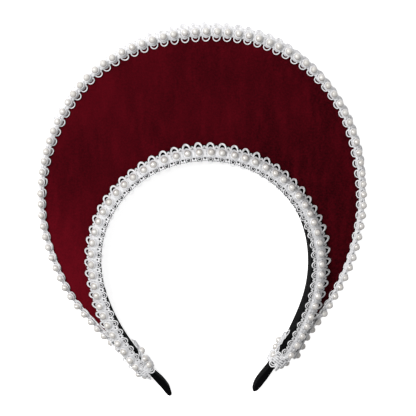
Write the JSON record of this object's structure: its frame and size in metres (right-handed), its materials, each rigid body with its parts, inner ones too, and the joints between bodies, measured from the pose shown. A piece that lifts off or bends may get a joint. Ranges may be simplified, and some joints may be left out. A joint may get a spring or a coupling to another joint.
{
  "type": "crown headband",
  "caption": "Halo crown headband: padded dark red velvet crescent on a black horseshoe hair band, edged with white lace braid and pearls.",
  "frame": {"origin": "on the flat back of the crown, in the middle of its footprint seen from the front", "axes": "+Z out of the crown's front, +Y towards the crown's top, +X to the right-hand side seen from the front; the crown lies on its back"},
  "size_m": [0.199, 0.2282, 0.0167],
  "materials": {
    "band_fabric": "matte black woven fabric glued over a thin plastic band",
    "velvet": "dark red velvet with a short mottled nap",
    "lace": "white looped lace braid",
    "pearl": "ivory imitation pearl, glossy"
  },
  "bodies": {
    "root": {"headband": "band_fabric", "velvet_crescent": "velvet", "front_pearl_trim": "lace", "rim_pearl_trim": "lace", "left_end_wrap": "lace", "right_end_wrap": "lace"}
  },
  "joints": []
}
